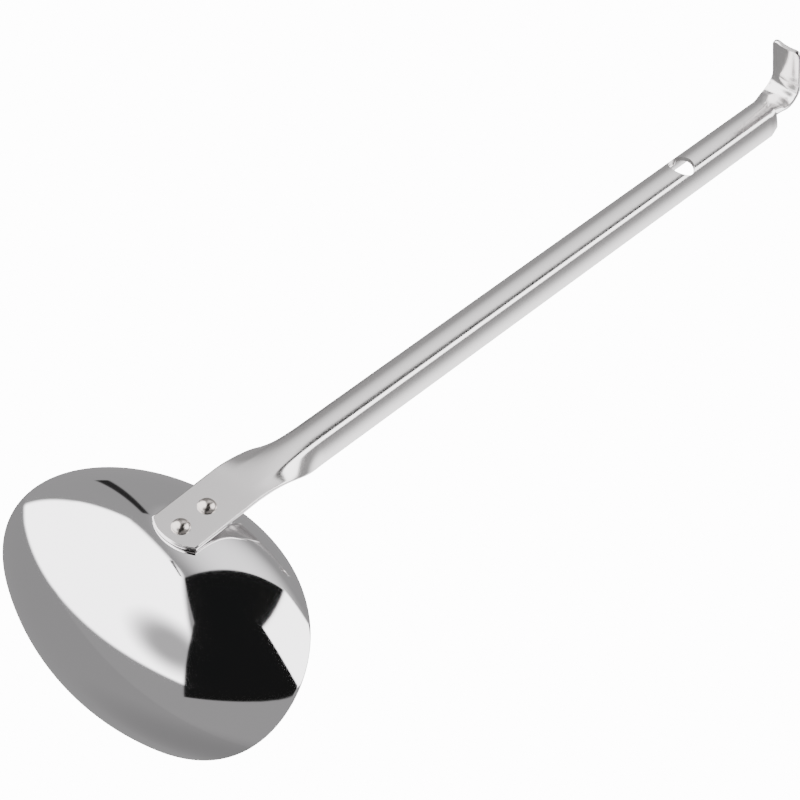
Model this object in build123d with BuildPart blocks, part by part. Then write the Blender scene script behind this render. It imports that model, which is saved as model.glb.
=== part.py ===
"""Stainless-steel serving ladle with two side pouring lips and a riveted channel handle.

Frame: +Z up (the bowl opens upward), +Y towards the hook, X along the bowl's long axis. The
ladle hangs by the hole in its handle, whose centre is the origin. The pieces are drawn about
the middle of the bowl's rim and placed in that frame at the end. Sizes are millimetres, and
each pressed piece is a solid of its own.
"""
from build123d import *
from math import asin, cos, degrees, radians, sin, sqrt
import os

os.makedirs("parts", exist_ok=True)

# Bowl: a thin spindle shape, round across (Y-Z) and pointed towards both lips (X)
bowl_radius = 35.6          # outer radius across the middle, which is also the depth
bowl_keel_radius = 82.0     # outer radius of the long curve from lip to lip
bowl_wall = 1.0
lip_half_length = 50.0      # where the falling rim is measured, from the middle
lip_drop = 14.6             # how far the rim has fallen there

# Handle strip and the way it stands off the bowl
strip_thickness = 1.5
handle_rise = 44.0          # angle of the handle above the rim plane, degrees
tab_bend = 4.1              # the tab leans inwards from the handle's line by this, degrees
tab_top_to_contact = 24.4   # from the tab's upper end down to where it touches the bowl
tab_width = 16.0
tab_length = 25.4           # to the corners of its end
tab_end_bulge = 2.8         # how far the rounded end goes past the corners

# Folded channel: web outside, two flanges turned in behind it
web_flat = 6.2
bend_radius = 1.9           # outer radius of the fold, above the strip's thickness
fold_angle = 76.0
flange_height = 6.9         # straight part of a flange
channel_start = 32.0        # from the tab's upper end, where the fold is complete
channel_end = 270.0
flange_corner = 2.4         # corner cut off each flange at the hook end

# Hook and hanging hole
hook_width = 10.8
hook_neck = 5.0             # flat stretch between the flanges' ends and the turn
hook_inner_radius = 4.2
hook_turn = 113.0
hook_length = 18.0          # straight part after the turn
hook_corner = 2.2
hang_hole_diameter = 9.0
hang_hole_from_end = 51.0   # from the flanges' ends back to the hole's centre
hang_hole_depth = 3.0       # deep enough for the web and its folds, clear of the flanges

# Rivets
rivet_positions = {"rivet_upper": 12.2, "rivet_lower": 22.7}    # down the tab
rivet_shank_diameter = 3.2
rivet_head_diameter = 5.6
rivet_head_height = 2.1
rivet_foot_diameter = 5.4
rivet_foot_height = 0.9
rivet_edge = 0.3            # upright rim below each dome

# Seat pressed out of the bowl's wall, which meets the flat tab
seat_width = 10.0
seat_top = 6.4
seat_bottom = 26.0
seat_corner = 2.0
seat_sink = 8.0             # how far the seat's block reaches in before the inside is cut

hook_start = channel_end + hook_neck
hang_hole_at = channel_end - hang_hole_from_end

# Construction frames: "along" runs up the handle, "out" is square to its outer face
rise = radians(handle_rise)
along = Vector(0, cos(rise), sin(rise))
out = Vector(0, sin(rise), -cos(rise))
tab_angle = rise - radians(tab_bend)
tab_up = Vector(0, cos(tab_angle), sin(tab_angle))
tab_out = Vector(0, sin(tab_angle), -cos(tab_angle))
tab_top = tab_out * (bowl_radius + strip_thickness) + tab_up * tab_top_to_contact


def across_handle(distance):
    """Plane square to the handle, x across it and y out of its outer face."""
    return Plane(origin=tab_top + along * distance, x_dir=(1, 0, 0), z_dir=along)


def on_tab(depth=0.0):
    """Plane in the tab's outer face, or that far below it, y up the tab."""
    return Plane(origin=tab_top - tab_out * depth, x_dir=(-1, 0, 0), z_dir=tab_out)


side_plane = Plane(origin=tab_top, x_dir=along, z_dir=(-1, 0, 0))


def spindle(radius, keel_radius):
    """Lower outline of the bowl's section, from tip to tip and closed along the long axis."""
    tip = sqrt(keel_radius**2 - (keel_radius - radius)**2)
    with BuildLine() as outline:
        ThreePointArc((-tip, 0), (0, -radius), (tip, 0))
        Line((tip, 0), (-tip, 0))
    return outline.edges()


def strip_section(width, fold, flange, fold_length):
    """Section of the strip: flat web, two equal folds and two flanges of one thickness."""
    radius = fold_length / fold
    half = width / 2
    turn = degrees(fold)
    centre_y = -radius
    flange_x = half + radius * sin(fold)
    flange_y = centre_y + radius * cos(fold)
    tip_x = flange_x + flange * cos(fold)
    tip_y = flange_y - flange * sin(fold)
    inside = radius - strip_thickness
    in_x = half + inside * sin(fold)
    in_y = centre_y + inside * cos(fold)
    edge_x = in_x + flange * cos(fold)
    edge_y = in_y - flange * sin(fold)
    with BuildLine() as outline:
        Line((-half, 0), (half, 0))
        CenterArc((half, centre_y), radius, 90, -turn)
        Line((flange_x, flange_y), (tip_x, tip_y))
        Line((tip_x, tip_y), (edge_x, edge_y))
        Line((edge_x, edge_y), (in_x, in_y))
        CenterArc((half, centre_y), inside, 90 - turn, turn)
        Line((half, -strip_thickness), (-half, -strip_thickness))
        CenterArc((-half, centre_y), inside, 90, turn)
        Line((-in_x, in_y), (-edge_x, edge_y))
        Line((-edge_x, edge_y), (-tip_x, tip_y))
        Line((-tip_x, tip_y), (-flange_x, flange_y))
        CenterArc((-half, centre_y), radius, 90 + turn, -turn)
    return outline.edges()


def dome_section(radius, height, below):
    """Half section of a round head: spherical dome, upright edge and a stem down to below."""
    centre_y = (height**2 - radius**2 - rivet_edge**2) / (2 * (height - rivet_edge))
    edge_angle = degrees(asin((rivet_edge - centre_y) / (height - centre_y)))
    with BuildLine() as outline:
        Line((0, below), (radius, below))
        Line((radius, below), (radius, rivet_edge))
        CenterArc((0, centre_y), height - centre_y, edge_angle, 90 - edge_angle)
        Line((0, height), (0, below))
    return outline.edges()


def rivet(distance):
    """Rivet through tab, seat and wall: domed head outside, peened foot square to the wall inside."""
    from_contact = tab_top_to_contact - distance
    inside_radius = bowl_radius - bowl_wall
    grip = strip_thickness + bowl_radius - sqrt(inside_radius**2 - from_contact**2)
    centre = tab_top - tab_up * distance
    wall_point = centre - tab_out * grip
    inward = wall_point.normalized() * -1
    with BuildPart() as piece:
        foot_plane = Plane(origin=wall_point, x_dir=(1, 0, 0), z_dir=Vector(1, 0, 0).cross(inward))
        with BuildSketch(foot_plane):
            make_face(dome_section(rivet_foot_diameter / 2, rivet_foot_height, -bowl_wall))
        revolve(axis=Axis(wall_point, inward))
        with BuildSketch(Plane.XZ):
            make_face(spindle(bowl_radius - bowl_wall, bowl_keel_radius - bowl_wall))
        revolve(axis=Axis.X, mode=Mode.INTERSECT)
        with BuildSketch(Plane(origin=centre, x_dir=(1, 0, 0), z_dir=tab_up)):
            make_face(dome_section(rivet_head_diameter / 2, rivet_head_height, 0))
        revolve(axis=Axis(centre, tab_out))
        with BuildSketch(Plane(origin=centre, x_dir=(1, 0, 0), z_dir=tab_out)):
            Circle(rivet_shank_diameter / 2)
        extrude(amount=-grip - rivet_foot_height / 3)
    return piece.part


# Bowl: spindle with the handle's seat, hollowed, cut along the falling rim and drilled
past_lip = lip_half_length * 1.5
below_lip = lip_drop * 2.6
with BuildPart() as bowl:
    with BuildSketch(Plane.XZ):
        make_face(spindle(bowl_radius, bowl_keel_radius))
    revolve(axis=Axis.X)
    with BuildSketch(on_tab(strip_thickness)):
        with Locations((0, -(seat_top + seat_bottom) / 2)):
            RectangleRounded(seat_width, seat_bottom - seat_top, seat_corner)
    extrude(amount=-seat_sink)
    with BuildSketch(Plane.XZ):
        make_face(spindle(bowl_radius - bowl_wall, bowl_keel_radius - bowl_wall))
    revolve(axis=Axis.X, mode=Mode.SUBTRACT)
    with BuildSketch(Plane.XZ):
        with BuildLine():
            ThreePointArc((-lip_half_length, -lip_drop), (0, 0), (lip_half_length, -lip_drop))
            Polyline((lip_half_length, -lip_drop), (past_lip, -below_lip),
                     (past_lip, -bowl_keel_radius), (-past_lip, -bowl_keel_radius),
                     (-past_lip, -below_lip), (-lip_half_length, -lip_drop))
        make_face()
    extrude(amount=bowl_radius * 1.5, both=True, mode=Mode.INTERSECT)
    for distance in rivet_positions.values():
        with BuildSketch(on_tab()):
            with Locations((0, -distance)):
                Circle(rivet_shank_diameter / 2)
        extrude(amount=-(strip_thickness + seat_sink), mode=Mode.SUBTRACT)

# Handle: flat tab, transition, folded channel and hook from one strip
fold = radians(fold_angle)
fold_length = bend_radius * fold
flat_flange = (tab_width - web_flat) / 2 - fold_length
hook_path_radius = hook_inner_radius + strip_thickness / 2
least_fold = radians(2)
tongue_overlap = 0.5
past_corner = 1.0

with BuildPart() as handle:
    with BuildSketch(on_tab(strip_thickness)):
        with BuildLine():
            Line((-tab_width / 2, 0), (tab_width / 2, 0))
            Line((tab_width / 2, 0), (tab_width / 2, -tab_length))
            ThreePointArc((tab_width / 2, -tab_length), (0, -tab_length - tab_end_bulge),
                          (-tab_width / 2, -tab_length))
            Line((-tab_width / 2, -tab_length), (-tab_width / 2, 0))
        make_face()
    extrude(amount=strip_thickness)
    for share in (0.0, 0.25, 0.5, 0.75, 1.0):
        turned = share * share * (3 - 2 * share)
        if share == 0.0:
            plane = Plane(origin=tab_top, x_dir=(1, 0, 0), z_dir=tab_up)
        else:
            plane = across_handle(share * channel_start)
        with BuildSketch(plane):
            flange = flat_flange + (flange_height - flat_flange) * turned**2
            make_face(strip_section(web_flat, max(fold * turned, least_fold), flange, fold_length))
    loft()
    with BuildSketch(across_handle(channel_start)):
        make_face(strip_section(web_flat, fold, flange_height, fold_length))
    extrude(amount=channel_end - channel_start)
    with BuildLine(side_plane):
        start = (channel_end - tongue_overlap, -strip_thickness / 2)
        bend_from = (hook_start, -strip_thickness / 2)
        neck = Line(start, bend_from)
        turn_arc = CenterArc((hook_start, hook_inner_radius), hook_path_radius, -90, hook_turn)
        PolarLine(turn_arc @ 1, hook_length, hook_turn)
    with BuildSketch(Plane(origin=neck @ 0, x_dir=(1, 0, 0), z_dir=along)):
        Rectangle(hook_width, strip_thickness)
    sweep()
    # Round corners of the hook's end, cut corners of the flanges, hanging hole and rivet holes
    hook_end = handle.faces().sort_by(Axis(tab_top, along * cos(radians(hook_turn))
                                           + out * sin(radians(hook_turn))))[-1]
    fillet(hook_end.edges().sort_by(SortBy.LENGTH)[:2], radius=hook_corner)
    with BuildSketch(side_plane):
        depth = bend_radius * (1 - cos(fold)) + flange_height * sin(fold)
        with BuildLine():
            Polyline((channel_end + past_corner, -depth + flange_corner + past_corner),
                     (channel_end - flange_corner - past_corner, -depth - past_corner),
                     (channel_end + past_corner, -depth - past_corner),
                     close=True)
        make_face()
    extrude(amount=bowl_radius, both=True, mode=Mode.SUBTRACT)
    with BuildSketch(Plane(origin=tab_top + along * hang_hole_at, x_dir=(1, 0, 0), z_dir=out)):
        Circle(hang_hole_diameter / 2)
    extrude(amount=hang_hole_depth, both=True, mode=Mode.SUBTRACT)
    for distance in rivet_positions.values():
        with BuildSketch(on_tab()):
            with Locations((0, -distance)):
                Circle(rivet_shank_diameter / 2)
        extrude(amount=-strip_thickness, mode=Mode.SUBTRACT)

# Every piece is placed so that the hanging hole's centre is the origin, then written
hole_centre = tab_top + along * hang_hole_at - out * strip_thickness / 2
to_hanging_hole = Location(hole_centre * -1)


def write_piece(piece, name):
    """Place one piece in the ladle's frame, label it and write its file."""
    placed = piece.moved(to_hanging_hole)
    placed.label = name
    export_step(placed, f"parts/{name}.step")


write_piece(bowl.part, "bowl")
write_piece(handle.part, "handle")
for name, distance in rivet_positions.items():
    write_piece(rivet(distance), name)
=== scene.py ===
"""Studio picture of the stainless-steel ladle: fine surfaces, polished steel, studio light and camera.

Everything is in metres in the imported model's frame: +Z up, +Y towards the hook, origin at the
centre of the hanging hole. The ladle's own sizes are millimetres, and MM turns them into metres.
"""

from math import asin, cos, pi, radians, sin

import bpy
import numpy as np
from mathutils import Matrix, Vector


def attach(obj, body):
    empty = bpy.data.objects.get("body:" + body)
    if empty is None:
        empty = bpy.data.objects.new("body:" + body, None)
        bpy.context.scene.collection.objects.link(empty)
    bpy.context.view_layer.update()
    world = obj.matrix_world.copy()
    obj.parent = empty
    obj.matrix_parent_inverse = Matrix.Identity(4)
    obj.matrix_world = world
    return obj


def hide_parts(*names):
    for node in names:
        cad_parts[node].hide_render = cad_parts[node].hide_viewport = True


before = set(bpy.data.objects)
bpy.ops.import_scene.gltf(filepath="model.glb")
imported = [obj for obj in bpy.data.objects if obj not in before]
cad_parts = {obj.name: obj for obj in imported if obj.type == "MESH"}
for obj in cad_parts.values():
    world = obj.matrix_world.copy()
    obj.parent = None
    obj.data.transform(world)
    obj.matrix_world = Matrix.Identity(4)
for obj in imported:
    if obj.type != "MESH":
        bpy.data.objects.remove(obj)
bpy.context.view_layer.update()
MM = 0.001

# Sizes of the ladle in millimetres, the same as in its model
BOWL_RADIUS = 35.6
BOWL_KEEL_RADIUS = 82.0
BOWL_WALL = 1.0
LIP_HALF_LENGTH = 50.0
LIP_DROP = 14.6
SHEET = 1.5
HANDLE_RISE = radians(44.0)
TAB_BEND = radians(4.1)
TAB_TO_CONTACT = 24.4
TAB_HALF = 8.0
TAB_LENGTH = 25.4
TAB_BULGE = 2.8
WEB_HALF = 3.1
FOLD_RADIUS = 1.9
FOLD = radians(76.0)
FLANGE = 6.9
CHANNEL_START = 32.0
CHANNEL_END = 270.0
FLANGE_CORNER = 2.4
HOOK_HALF = 5.4
HOOK_START = CHANNEL_END + 5.0
HOOK_RADIUS = 4.95
HOOK_TURN = radians(113.0)
HOOK_LENGTH = 18.0
HOOK_CORNER = 2.2
WEB_CROWN = radians(17)
HOOK_CROWN = 0.6    # share of the web's crown that the hook keeps
HOLE_AT = CHANNEL_END - 51.0
HOLE_RADIUS = 4.5
SEAT_HALF_WIDTH = 5.0
SEAT_TOP = 6.4
SEAT_BOTTOM = 26.0

# Directions and places about the bowl's centre, then the step to the frame's origin
ALONG = np.array([0.0, cos(HANDLE_RISE), sin(HANDLE_RISE)])
OUT = np.array([0.0, sin(HANDLE_RISE), -cos(HANDLE_RISE)])
TAB_UP = np.array([0.0, cos(HANDLE_RISE - TAB_BEND), sin(HANDLE_RISE - TAB_BEND)])
TAB_OUT = np.array([0.0, sin(HANDLE_RISE - TAB_BEND), -cos(HANDLE_RISE - TAB_BEND)])
TAB_TOP = TAB_OUT * (BOWL_RADIUS + SHEET) + TAB_UP * TAB_TO_CONTACT
ORIGIN = TAB_TOP + ALONG * HOLE_AT - OUT * SHEET / 2


def smooth(x):
    """0 below 0, 1 above 1 and an even S between."""
    x = np.clip(x, 0.0, 1.0)
    return x * x * (3 - 2 * x)


def add_surface(name, points, closed_across=False):
    """Object from a grid of points (rows, columns, 3) in millimetres about the bowl's centre.

    Point (i, j) joins (i, j + 1), (i + 1, j + 1) and (i + 1, j) in one face. A closed strip also
    joins its last column to its first and has a cap at either end.
    """
    rows, columns, _ = points.shape
    places = (points.reshape(-1, 3) - ORIGIN) * MM
    number = np.arange(rows * columns).reshape(rows, columns)
    after = np.roll(number, -1, axis=1)
    if not closed_across:
        number, after = number[:, :-1], after[:, :-1]
    quads = np.stack([number[:-1], after[:-1], after[1:], number[1:]], axis=2).reshape(-1, 4)
    faces = quads.tolist()
    if closed_across:
        faces += [number[0, ::-1].tolist(), number[-1].tolist()]
    mesh = bpy.data.meshes.new(name)
    mesh.from_pydata(places.tolist(), [], faces)
    mesh.validate()
    obj = bpy.data.objects.new(name, mesh)
    bpy.context.collection.objects.link(obj)
    return obj


def shade(obj, angle):
    """Smooth shading with sharp edges above an angle."""
    obj.data.shade_smooth()
    obj.data.set_sharp_from_angle(angle=angle)


def bowl_surface():
    """The pressed bowl, out from its bottom to the rim, over a rounded edge and back inside.

    The bowl is a spindle: at x its radius is r = sqrt(K^2 - x^2) - (K - R). A point on it is
    (x, r sin a, -r cos a). The rim falls along an arc towards both lips, and every ray from the
    bottom reaches it at a share t of 1. The inside is the same surface one wall further in.
    """
    arc_radius = (LIP_HALF_LENGTH**2 + LIP_DROP**2) / (2 * LIP_DROP)

    def radius(x):
        return np.sqrt(BOWL_KEEL_RADIUS**2 - x**2) - (BOWL_KEEL_RADIUS - BOWL_RADIUS)

    def fall(x):
        return arc_radius - np.sqrt(arc_radius**2 - x**2)

    low, high = LIP_HALF_LENGTH, LIP_HALF_LENGTH * 1.2
    for _ in range(40):
        middle = (low + high) / 2
        low, high = (middle, high) if fall(middle) < radius(middle) else (low, middle)
    rays, rings = 289, 97
    inside_tip = 0.9999
    edge_setback = 0.4
    turn = np.linspace(0, 2 * pi, rays)
    rim_x = low * np.sin(turn) * inside_tip
    rim_angle = np.arccos(np.clip(fall(rim_x) / radius(rim_x), -1, 1)) * np.sign(np.cos(turn) + 1e-9)
    rim_angle[np.abs(np.cos(turn)) < 1e-6] = 0.0
    share = np.linspace(0, 1, rings)[:, None] * (1 - edge_setback / BOWL_RADIUS)
    x = share * rim_x
    angle = share * rim_angle
    r = radius(x)
    outer = np.stack([x, r * np.sin(angle), -r * np.cos(angle)], axis=2)
    slope = x / np.sqrt(BOWL_KEEL_RADIUS**2 - x**2)
    normal = np.stack([slope, np.sin(angle), -np.cos(angle)], axis=2)
    normal /= np.linalg.norm(normal, axis=2, keepdims=True)
    inner = outer - normal * BOWL_WALL
    last, past = outer[-1], outer[-1] - outer[-2]
    past /= np.linalg.norm(past, axis=1, keepdims=True)
    middle = last - normal[-1] * BOWL_WALL / 2
    edge = [middle + normal[-1] * BOWL_WALL / 2 * cos(a) + past * BOWL_WALL / 2 * sin(a)
            for a in np.linspace(0, pi, 9)[1:-1]]
    seat = outer - (TAB_TOP - TAB_OUT * SHEET)
    down = -(seat @ TAB_UP)
    gap = -(seat @ TAB_OUT)
    window = smooth((SEAT_HALF_WIDTH + 1 - np.abs(outer[:, :, 0])) / 2)
    window = window * smooth((down - SEAT_TOP + 1) / 2) * smooth((SEAT_BOTTOM + 1 - down) / 2)
    outer = outer + TAB_OUT * (np.clip(gap, 0, 5) * window * (outer[:, :, 1] > 0))[:, :, None]
    return np.concatenate([outer, np.array(edge), inner[::-1]])


def strip_row(middle, outward, across, fold, half, crown):
    """One closed section of the sheet strip.

    The outer face is followed outwards from its middle: its slope grows slowly over the crowned
    web, by the fold's angle over the fold's length, and stays for the flange. The edges are round.
    """
    fold_length = FOLD_RADIUS * FOLD
    web_share, fold_share = 0.22, 0.5
    share = np.concatenate([np.linspace(0, web_share, 12)[:-1],
                            np.linspace(web_share, fold_share, 30)[:-1],
                            np.linspace(fold_share, 1, 14)])
    length = half * share
    slope = crown * np.minimum(length, WEB_HALF) / WEB_HALF
    slope = slope + (fold - 1.5 * crown) * smooth((length - WEB_HALF) / fold_length)
    slope = slope + crown * np.clip((length - WEB_HALF - fold_length) / FLANGE, 0, 1)
    step = np.diff(length)
    mean = (slope[1:] + slope[:-1]) / 2
    w = np.concatenate([[0], np.cumsum(np.cos(mean) * step)])
    n = np.concatenate([[0], -np.cumsum(np.sin(mean) * step)])
    inner_w = w - SHEET * np.sin(slope)
    inner_n = n - SHEET * np.cos(slope)
    cap = np.linspace(0, pi, 7)[1:-1]
    end = slope[-1]
    centre_w, centre_n = (w[-1] + inner_w[-1]) / 2, (n[-1] + inner_n[-1]) / 2
    bulge = 0.35
    cap_w = centre_w + SHEET / 2 * np.cos(cap) * sin(end) + bulge * np.sin(cap) * cos(end)
    cap_n = centre_n + SHEET / 2 * np.cos(cap) * cos(end) - bulge * np.sin(cap) * sin(end)
    right_w = np.concatenate([w, cap_w, inner_w[::-1]])
    right_n = np.concatenate([n, cap_n, inner_n[::-1]])
    loop_w = np.concatenate([right_w, -right_w[::-1][1:-1]])
    loop_n = np.concatenate([right_n, right_n[::-1][1:-1]])
    return middle + np.outer(loop_w, across) + np.outer(loop_n, outward)


def handle_surface():
    """The whole strip: tab with its round end, opening fold, channel, hook and its round corners.

    The strip's middle line is followed in the Y-Z plane. Its direction turns by the tab's bend
    at the top of the tab and by the hook's turn after the channel.
    """
    end_radius = (TAB_HALF**2 + TAB_BULGE**2) / (2 * TAB_BULGE)
    end_centre = -TAB_LENGTH - TAB_BULGE + end_radius
    first_turn = 0.03
    sweep = np.linspace(first_turn, asin(TAB_HALF / end_radius), 14)
    hook_arc = HOOK_RADIUS * HOOK_TURN
    hook_end = HOOK_START + hook_arc + HOOK_LENGTH
    corner = np.linspace(first_turn, pi / 2, 9)
    stations = [(end_centre - end_radius * cos(a), end_radius * sin(a)) for a in sweep]
    stations += [(s, TAB_HALF) for s in np.linspace(-TAB_LENGTH, 0, 16)[1:]]
    fold_length = FOLD_RADIUS * FOLD
    flat_flange = TAB_HALF - WEB_HALF - fold_length
    for s in np.linspace(0, CHANNEL_START, 41)[1:]:
        grown = smooth(s / CHANNEL_START)**2
        stations.append((s, TAB_HALF + (FLANGE - flat_flange) * grown))
    full = WEB_HALF + fold_length + FLANGE
    stations += [(s, full) for s in np.linspace(CHANNEL_START, CHANNEL_END - FLANGE_CORNER, 120)[1:]]
    stations.append((CHANNEL_END - 0.01, full - FLANGE_CORNER))
    stations += [(s, HOOK_HALF) for s in np.linspace(CHANNEL_END, hook_end - HOOK_CORNER, 60)]
    stations += [(hook_end - HOOK_CORNER * (1 - sin(a)), HOOK_HALF - HOOK_CORNER * (1 - cos(a)))
                 for a in corner[:-1]]
    places = np.array([s for s, _ in stations])
    line_start, line_step = -40.0, 0.02
    fine = np.arange(line_start, hook_end + 1, line_step)
    heading = HANDLE_RISE - TAB_BEND * (1 - smooth((fine + 3) / 6))
    heading = heading - HOOK_TURN * np.clip((fine - HOOK_START) / hook_arc, 0, 1)
    y = np.cumsum(np.cos(heading)) * line_step
    z = np.cumsum(np.sin(heading)) * line_step
    at_zero = int(round(-line_start / line_step))
    y += TAB_TOP[1] - TAB_OUT[1] * SHEET / 2 - y[at_zero]
    z += TAB_TOP[2] - TAB_OUT[2] * SHEET / 2 - z[at_zero]
    rows = []
    across = np.array([1.0, 0.0, 0.0])
    for s, half in stations:
        turned = np.interp(s, fine, heading)
        outward = np.array([0.0, sin(turned), -cos(turned)])
        middle = np.array([0.0, np.interp(s, fine, y), np.interp(s, fine, z)]) + outward * SHEET / 2
        opening = smooth(s / CHANNEL_START) * (1 - smooth((s - CHANNEL_END + 1) / 9))
        crown = WEB_CROWN * max(opening, HOOK_CROWN * smooth((s - CHANNEL_START) / 30))
        rows.append(strip_row(middle, outward, across, FOLD * opening, half, crown))
    return np.array(rows)


def cut_hole(obj):
    """Take the round hanging hole out of the web."""
    bpy.ops.mesh.primitive_cylinder_add(vertices=96, radius=HOLE_RADIUS * MM, depth=6 * MM)
    cutter = bpy.context.object
    cutter.rotation_mode = "QUATERNION"
    cutter.rotation_quaternion = Vector(OUT).to_track_quat("Z", "Y")
    change = obj.modifiers.new("hole", "BOOLEAN")
    change.object = cutter
    change.operation = "DIFFERENCE"
    change.solver = "EXACT"
    bpy.context.view_layer.update()
    cut = bpy.data.meshes.new_from_object(obj.evaluated_get(bpy.context.evaluated_depsgraph_get()))
    obj.modifiers.clear()
    obj.data = cut
    bpy.data.objects.remove(cutter)


def set_value(node, name, value):
    """Set one socket of a shader node."""
    node.inputs[name].default_value = value


def steel_grain_group():
    """What polishing leaves on every piece: broad ripples and fine speckles, as two masks."""
    group = bpy.data.node_groups.new("steel_grain", "ShaderNodeTree")
    for name in ("Ripple Scale", "Speckle Scale"):
        group.interface.new_socket(name, in_out="INPUT", socket_type="NodeSocketFloat")
    for name in ("Ripple", "Speckle"):
        group.interface.new_socket(name, in_out="OUTPUT", socket_type="NodeSocketFloat")
    given = group.nodes.new("NodeGroupInput")
    result = group.nodes.new("NodeGroupOutput")
    place = group.nodes.new("ShaderNodeTexCoord")
    for name, detail in (("Ripple", 1.0), ("Speckle", 4.0)):
        noise = group.nodes.new("ShaderNodeTexNoise")
        set_value(noise, "Detail", detail)
        group.links.new(place.outputs["Object"], noise.inputs["Vector"])
        group.links.new(given.outputs[name + " Scale"], noise.inputs["Scale"])
        group.links.new(noise.outputs["Fac"], result.inputs[name])
    return group


def polished_steel(name, tint, roughness, wave, grain):
    """Bright steel: a faint waviness from pressing and polishing, and fine grain in its gloss."""
    material = bpy.data.materials.new(name)
    material.use_nodes = True
    tree = material.node_tree
    shader = tree.nodes["Principled BSDF"]
    set_value(shader, "Base Color", (*tint, 1.0))
    set_value(shader, "Metallic", 1.0)
    worn = tree.nodes.new("ShaderNodeGroup")
    worn.node_tree = steel_grain
    set_value(worn, "Ripple Scale", 55.0)
    set_value(worn, "Speckle Scale", 900.0)
    bump = tree.nodes.new("ShaderNodeBump")
    set_value(bump, "Strength", wave)
    set_value(bump, "Distance", 0.0004)
    tree.links.new(worn.outputs["Ripple"], bump.inputs["Height"])
    tree.links.new(bump.outputs["Normal"], shader.inputs["Normal"])
    gloss = tree.nodes.new("ShaderNodeMapRange")
    set_value(gloss, "To Min", roughness - grain)
    set_value(gloss, "To Max", roughness + grain)
    tree.links.new(worn.outputs["Speckle"], gloss.inputs["Value"])
    tree.links.new(gloss.outputs["Result"], shader.inputs["Roughness"])
    return material


def dress(obj, material):
    """Give an object its only finish."""
    obj.data.materials.clear()
    obj.data.materials.append(material)


steel_grain = steel_grain_group()
bowl_steel = polished_steel("bowl_steel", (0.80, 0.79, 0.80), 0.05, 0.02, 0.02)
handle_steel = polished_steel("handle_steel", (0.80, 0.78, 0.775), 0.19, 0.05, 0.04)
rivet_steel = polished_steel("rivet_steel", (0.50, 0.465, 0.44), 0.24, 0.05, 0.05)

bowl = add_surface("bowl_pressing", bowl_surface())
shade(bowl, radians(60))
dress(bowl, bowl_steel)
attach(bowl, "root")
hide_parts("bowl")

handle = add_surface("handle_strip", handle_surface(), closed_across=True)
cut_hole(handle)
shade(handle, radians(40))
dress(handle, handle_steel)
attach(handle, "root")
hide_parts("handle")

for node_name in ("rivet_upper", "rivet_lower"):
    dress(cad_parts[node_name], rivet_steel)

# Camera: below the bowl and to its left, turned so that the handle runs up to the right
CAMERA_PLACE = Vector((-0.320598, -0.093248, -0.842677))
CAMERA_FORWARD = Vector((0.391, -0.025, 0.92)).normalized()
CAMERA_UP = Vector((0.518, 0.832, -0.198))
CAMERA_LENS = 122.35


def aim(obj, place, forward, up):
    """Place an object so that its -Z looks along forward and its +Y is near up."""
    back = -forward.normalized()
    right = up.cross(back).normalized()
    true_up = back.cross(right)
    turn = Matrix((right, true_up, back)).transposed().to_4x4()
    obj.matrix_world = Matrix.Translation(place) @ turn
    return right, true_up


camera_data = bpy.data.cameras.new("camera")
camera_data.lens = CAMERA_LENS
camera_data.clip_start = 0.01
camera_data.clip_end = 20.0
camera = bpy.data.objects.new("camera", camera_data)
bpy.context.collection.objects.link(camera)
RIGHT, UP = aim(camera, CAMERA_PLACE, CAMERA_FORWARD, CAMERA_UP)
NEAR = -CAMERA_FORWARD
bpy.context.scene.camera = camera


def studio_direction(right, up, near):
    """World direction of a place in the studio, seen from the ladle."""
    return (RIGHT * right + UP * up + NEAR * near).normalized()


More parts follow.
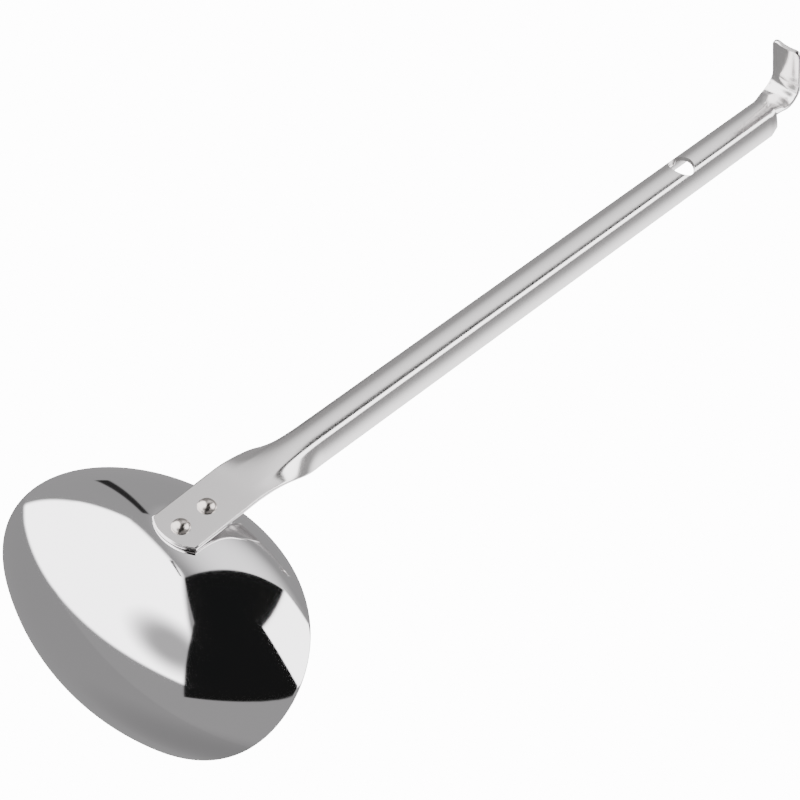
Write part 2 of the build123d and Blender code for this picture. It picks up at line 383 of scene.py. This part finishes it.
class StudioLight:
    """World light made of soft panels, each a patch of sky between straight edges."""

    def __init__(self, strength):
        self.world = bpy.data.worlds.new("studio")
        self.world.use_nodes = True
        self.tree = self.world.node_tree
        self.nodes = self.tree.nodes
        self.way = self.nodes.new("ShaderNodeTexCoord").outputs["Generated"]
        shade_of_room = self.nodes.new("ShaderNodeValue")
        shade_of_room.outputs[0].default_value = strength
        self.level = shade_of_room.outputs[0]

    def side(self, normal, softness, offset=0.0):
        """1 on the side of a plane that normal points to, fading over softness."""
        dot = self.nodes.new("ShaderNodeVectorMath")
        dot.operation = "DOT_PRODUCT"
        self.tree.links.new(self.way, dot.inputs[0])
        dot.inputs[1].default_value = normal
        ramp = self.nodes.new("ShaderNodeMapRange")
        ramp.interpolation_type = "SMOOTHSTEP"
        set_value(ramp, "From Min", offset - softness)
        set_value(ramp, "From Max", offset + softness)
        self.tree.links.new(dot.outputs["Value"], ramp.inputs["Value"])
        return ramp.outputs["Result"]

    def mix(self, mask, level):
        """Bring the light to a level where the mask is 1."""
        blend = self.nodes.new("ShaderNodeMix")
        blend.data_type = "FLOAT"
        self.tree.links.new(mask, blend.inputs[0])
        self.tree.links.new(self.level, blend.inputs[2])
        blend.inputs[3].default_value = level
        self.level = blend.outputs[0]

    def panel(self, corners, level, softness):
        """Flat patch of light or dark between corners named in turn, clockwise from inside."""
        mask = None
        count = len(corners)
        centre = sum((studio_direction(*corner) for corner in corners), Vector()).normalized()
        for index in range(count):
            first = studio_direction(*corners[index])
            second = studio_direction(*corners[(index + 1) % count])
            normal = first.cross(second).normalized()
            if normal.dot(centre) < 0:
                normal = -normal
            edge = self.side(normal, softness)
            if mask is None:
                mask = edge
            else:
                both = self.nodes.new("ShaderNodeMath")
                both.operation = "MULTIPLY"
                self.tree.links.new(mask, both.inputs[0])
                self.tree.links.new(edge, both.inputs[1])
                mask = both.outputs[0]
        self.mix(mask, level)

    def finish(self, backdrop):
        """White backdrop for the camera, the studio for everything else."""
        seen = self.nodes.new("ShaderNodeLightPath")
        blend = self.nodes.new("ShaderNodeMix")
        blend.data_type = "FLOAT"
        self.tree.links.new(seen.outputs["Is Camera Ray"], blend.inputs[0])
        self.tree.links.new(self.level, blend.inputs[2])
        blend.inputs[3].default_value = backdrop
        self.tree.links.new(blend.outputs[0], self.nodes["Background"].inputs["Strength"])
        set_value(self.nodes["Background"], "Color", (1.0, 0.99, 1.0, 1.0))
        bpy.context.scene.world = self.world


studio = StudioLight(0.40)
# Soft glow high on the right, which lights the handle's web and the tab
studio.mix(studio.side(studio_direction(0.50, 0.85, 0.12), 0.13, 0.90), 1.9)
# Bright wall low on the right, seen along the handle's flange
studio.mix(studio.side(studio_direction(0.62, -0.45, -0.64), 0.06, 0.925), 2.8)
# Dim ground beyond the lower left, seen in the lower edge of the bowl
studio.mix(studio.side(studio_direction(-0.609, -0.481, -0.641), 0.015, 0.568), 0.36)
studio.mix(studio.side(studio_direction(-0.30, -0.90, -0.32), 0.12, 0.93), 0.27)
# Large softbox on the left, fading towards the camera
studio.panel([(-0.706, 0.443, -0.552), (-0.265, 0.963, 0.057), (-0.60, 0.20, 0.77),
              (-0.998, 0.041, 0.041)], 5.5, 0.03)
studio.panel([(-0.706, 0.443, -0.552), (-0.265, 0.963, 0.057), (-0.016, 0.80, 0.60),
              (-0.20, 0.10, 0.97), (-0.46, -0.654, 0.601), (-0.697, -0.659, 0.283),
              (-0.998, 0.041, 0.041)], 5.5, 0.03)
studio.mix(studio.side(studio_direction(-0.42, -0.06, 0.91), 0.05, 0.945), 0.62)
# Softbox on the right
studio.panel([(0.70, 0.655, -0.284), (0.589, 0.547, 0.595), (0.728, 0.038, 0.685),
              (0.98, 0.0, 0.1), (0.92, 0.33, -0.30)], 5.0, 0.03)
# Dark room around the camera, between the two softboxes
studio.panel([(-0.016, 0.771, 0.636), (0.70, 0.655, -0.284), (0.589, 0.547, 0.595),
              (-0.097, 0.323, 0.941)], 0.012, 0.008)
studio.panel([(-0.097, 0.343, 0.935), (0.589, 0.567, 0.575), (0.728, 0.038, 0.685),
              (-0.46, -0.654, 0.601)], 0.012, 0.008)
# Narrow dark stands beside the left softbox
studio.panel([(-0.26, 0.75, -0.62), (-0.19, 0.75, -0.62), (-0.09, 0.99, -0.08),
              (-0.14, 0.99, -0.08)], 0.03, 0.012)
studio.panel([(-0.09, 0.87, 0.49), (-0.06, 0.87, 0.49), (-0.03, 0.775, 0.63),
              (-0.05, 0.775, 0.63)], 0.02, 0.004)
studio.finish(14.0)

# Plain pale floor well below the ladle, kept out of its reflections and shadows
FLOOR_HALF = 4.0
FLOOR_DEPTH = 1.4
floor_mesh = bpy.data.meshes.new("floor")
floor_corners = [(-FLOOR_HALF, -FLOOR_HALF, 0), (FLOOR_HALF, -FLOOR_HALF, 0),
                 (FLOOR_HALF, FLOOR_HALF, 0), (-FLOOR_HALF, FLOOR_HALF, 0)]
floor_mesh.from_pydata(floor_corners, [], [(0, 1, 2, 3)])
floor = bpy.data.objects.new("floor", floor_mesh)
floor.location = (0.0, 0.0, -FLOOR_DEPTH)
bpy.context.collection.objects.link(floor)
floor_paint = bpy.data.materials.new("floor_paint")
floor_paint.use_nodes = True
floor_shader = floor_paint.node_tree.nodes["Principled BSDF"]
set_value(floor_shader, "Base Color", (0.82, 0.82, 0.82, 1.0))
set_value(floor_shader, "Roughness", 0.7)
set_value(floor_shader, "Emission Color", (1.0, 1.0, 1.0, 1.0))
set_value(floor_shader, "Emission Strength", 2.5)
dress(floor, floor_paint)
floor.visible_glossy = False
floor.visible_shadow = False
